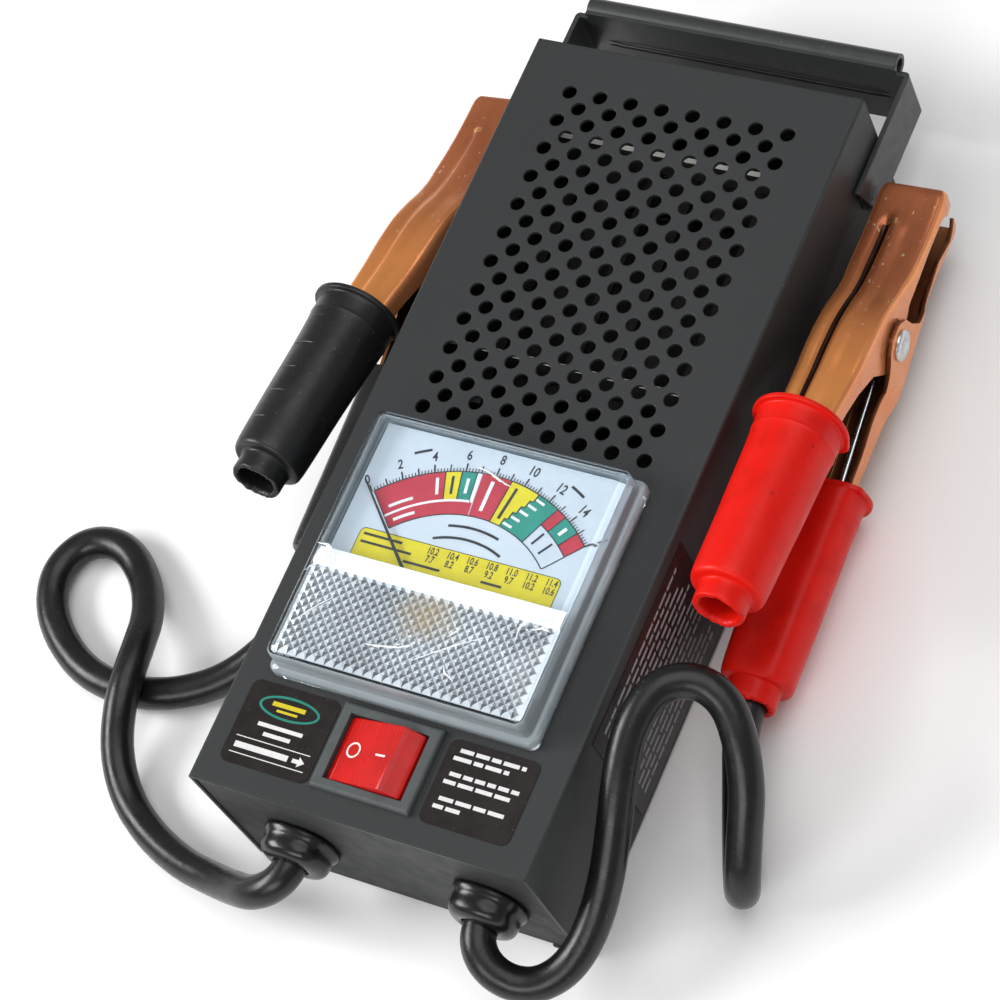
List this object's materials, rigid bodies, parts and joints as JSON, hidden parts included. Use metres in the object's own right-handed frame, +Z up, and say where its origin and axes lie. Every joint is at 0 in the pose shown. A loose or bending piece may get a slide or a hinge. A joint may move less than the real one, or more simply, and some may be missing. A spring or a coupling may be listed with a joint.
{
  "type": "battery load tester",
  "caption": "Hand-held battery load tester: steel case with vents, panel meter, rocker switch, folding handle and two clamp leads.",
  "frame": {"origin": "middle of the footprint of the case with its handle and glands, on the surface it rests on", "axes": "+Z up out of the dial face, +Y towards the folding handle, +X to the right for a reader whose leads leave the near end"},
  "size_m": [0.2578, 0.2963, 0.0695],
  "materials": {
    "charcoal_paint": "charcoal semi-matt powder coat on folded steel",
    "zinc_steel": "zinc plated",
    "clear_plastic": "clear moulded window",
    "black_moulding": "glossy black moulding",
    "dial_print": "white dial with printed colour bands",
    "brass_parts": "plain brass",
    "red_rocker_plastic": "translucent red, glossy",
    "needle_paint": "black painted",
    "copper_wire": "enamelled copper",
    "iron_core": "grey magnet and core",
    "ceramic_white": "white heat-proof board",
    "nichrome": "oxidised resistance strip",
    "red_insulation": "red insulation",
    "black_insulation": "black lead insulation, slightly shiny",
    "label_print": "black printed self-adhesive label with white marks",
    "copper_plate": "copper plated pressed steel, tarnished",
    "red_sleeve": "soft red grip",
    "black_sleeve": "soft black grip"
  },
  "bodies": {
    "case": {"case_cover": "charcoal_paint", "base_tray": "charcoal_paint", "case_screws": "zinc_steel", "handle_washers": "zinc_steel", "meter_cover": "clear_plastic", "meter_base": "black_moulding", "dial_plate": "dial_print", "dial_pillars": "brass_parts", "meter_core": "iron_core", "meter_magnet": "iron_core", "lower_bridge": "brass_parts", "upper_bridge": "brass_parts", "hairspring": "brass_parts", "meter_studs": "brass_parts", "stud_nuts": "brass_parts", "meter_posts": "zinc_steel", "meter_post_nuts": "zinc_steel", "switch_body": "black_moulding", "rocker_pin": "zinc_steel", "switch_terminals": "brass_parts", "switch_contact": "copper_wire", "switch_spring": "zinc_steel", "insulator_front": "ceramic_white", "insulator_rear": "ceramic_white", "load_element": "nichrome", "element_brackets": "zinc_steel", "bracket_screws": "zinc_steel", "heat_shield": "zinc_steel", "inner_wire_red": "red_insulation", "inner_wire_black": "black_insulation", "load_wire": "black_insulation", "element_lugs": "brass_parts", "gland_left": "black_moulding", "gland_right": "black_moulding", "label_left": "label_print", "label_right": "label_print", "side_label": "label_print", "cord_red": "black_insulation", "cord_black": "black_insulation", "red_lower_jaw": "copper_plate", "red_rivet": "zinc_steel", "red_spring_fixed": "zinc_steel", "red_lower_sleeve": "red_sleeve", "black_lower_jaw": "copper_plate", "black_rivet": "zinc_steel", "black_spring_fixed": "zinc_steel", "black_lower_sleeve": "black_sleeve"},
    "handle": {"handle": "charcoal_paint", "handle_pivots": "charcoal_paint", "handle_clips": "zinc_steel"},
    "rocker": {"rocker": "red_rocker_plastic"},
    "needle": {"meter_needle": "needle_paint", "needle_shaft": "zinc_steel", "moving_coil": "copper_wire"},
    "red_jaw": {"red_upper_jaw": "copper_plate", "red_upper_sleeve": "red_sleeve", "red_spring_moving": "zinc_steel"},
    "black_jaw": {"black_upper_jaw": "copper_plate", "black_upper_sleeve": "black_sleeve", "black_spring_moving": "zinc_steel"}
  },
  "joints": [
    {"name": "handle_fold", "type": "hinge", "parent": "case", "child": "handle", "pos_m": [0, 0.10013, 0.028], "axis": [1, 0, 0], "range_deg": [-20, 90]},
    {"name": "rocker_press", "type": "hinge", "parent": "case", "child": "rocker", "pos_m": [-0.0012, -0.11257, 0.0535], "axis": [0, 1, 0], "range_deg": [0, 14], "stiffness_Nm_per_rad": 0.08, "springref_deg": -8.59},
    {"name": "needle_swing", "type": "hinge", "parent": "case", "child": "needle", "pos_m": [-0.0005, -0.07537, 0.062], "axis": [0, 0, -1], "range_deg": [0, 90], "stiffness_Nm_per_rad": 0.00002},
    {"name": "red_clamp_open", "type": "hinge", "parent": "case", "child": "red_jaw", "pos_m": [0.0685, 0.05433, 0.0276], "axis": [0.999, 0.0454, 0], "range_deg": [0, 13.5], "stiffness_Nm_per_rad": 2, "springref_deg": -20.05},
    {"name": "black_clamp_open", "type": "hinge", "parent": "case", "child": "black_jaw", "pos_m": [-0.06914, 0.05623, 0.0276], "axis": [0.9903, 0.0034, 0.1387], "range_deg": [0, 13.5], "stiffness_Nm_per_rad": 2, "springref_deg": -20.05}
  ]
}
